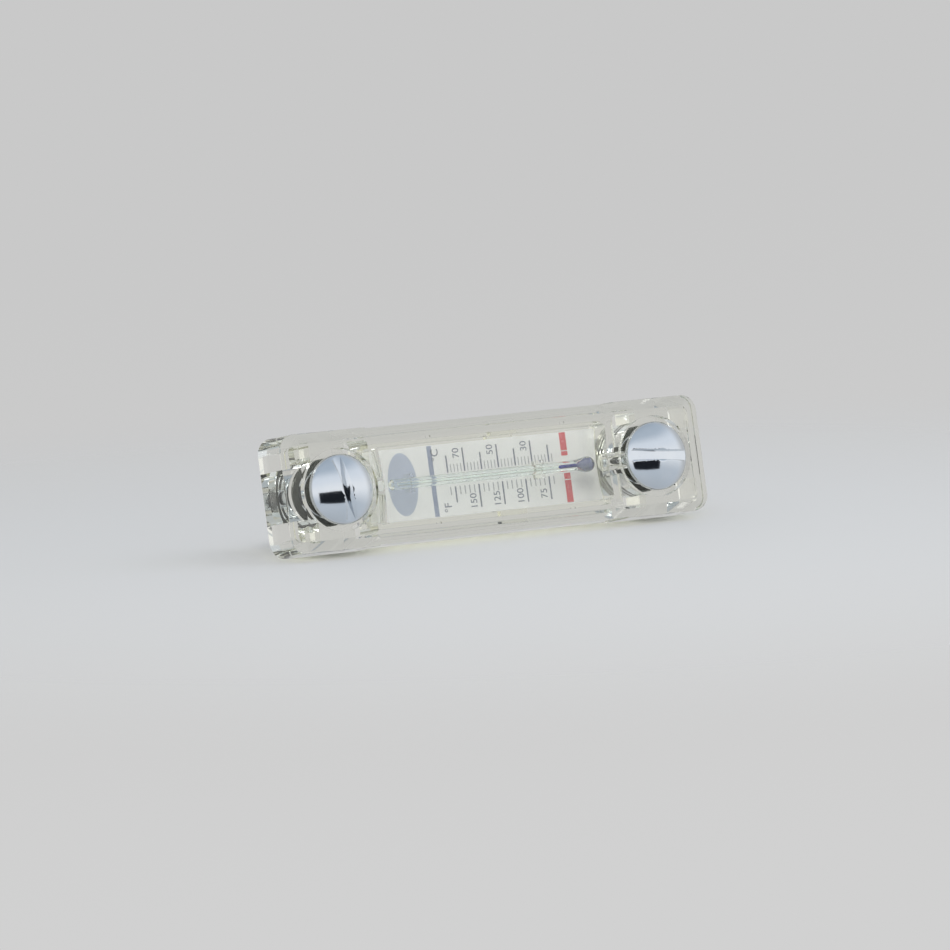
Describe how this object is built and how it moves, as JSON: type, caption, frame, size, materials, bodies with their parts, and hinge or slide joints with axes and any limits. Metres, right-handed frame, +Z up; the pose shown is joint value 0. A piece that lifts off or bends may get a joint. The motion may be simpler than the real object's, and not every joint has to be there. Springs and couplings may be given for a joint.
{
  "type": "tank level gauge",
  "caption": "Clear column level gauge for a hydraulic tank, with a glass thermometer before a printed scale, held by hollow slotted bolts.",
  "frame": {"origin": "on the plane of the mounting face, midway between the axes of the bolts", "axes": "+X along the gauge towards its lower end in service, +Y out of the mounting face towards the tank, +Z up as it lies on a long side, so the scale is read from -Y"},
  "size_m": [0.101, 0.0259, 0.025],
  "materials": {
    "clear_plastic": "clear, faintly yellow-green, smooth",
    "white_plate": "white lacquer, satin",
    "glass": "clear glass",
    "blue_fluid": "blue dyed fluid",
    "zinc_plated_steel": "satin, blue zinc plating",
    "black_rubber": "matt"
  },
  "bodies": {
    "root": {"sight_body": "clear_plastic", "rear_cover": "clear_plastic", "scale_plate": "white_plate", "thermometer_glass": "glass", "thermometer_fluid": "blue_fluid", "upper_bolt": "zinc_plated_steel", "lower_bolt": "zinc_plated_steel", "upper_head_seal": "black_rubber", "lower_head_seal": "black_rubber", "upper_tank_seal": "black_rubber", "lower_tank_seal": "black_rubber"}
  },
  "joints": []
}
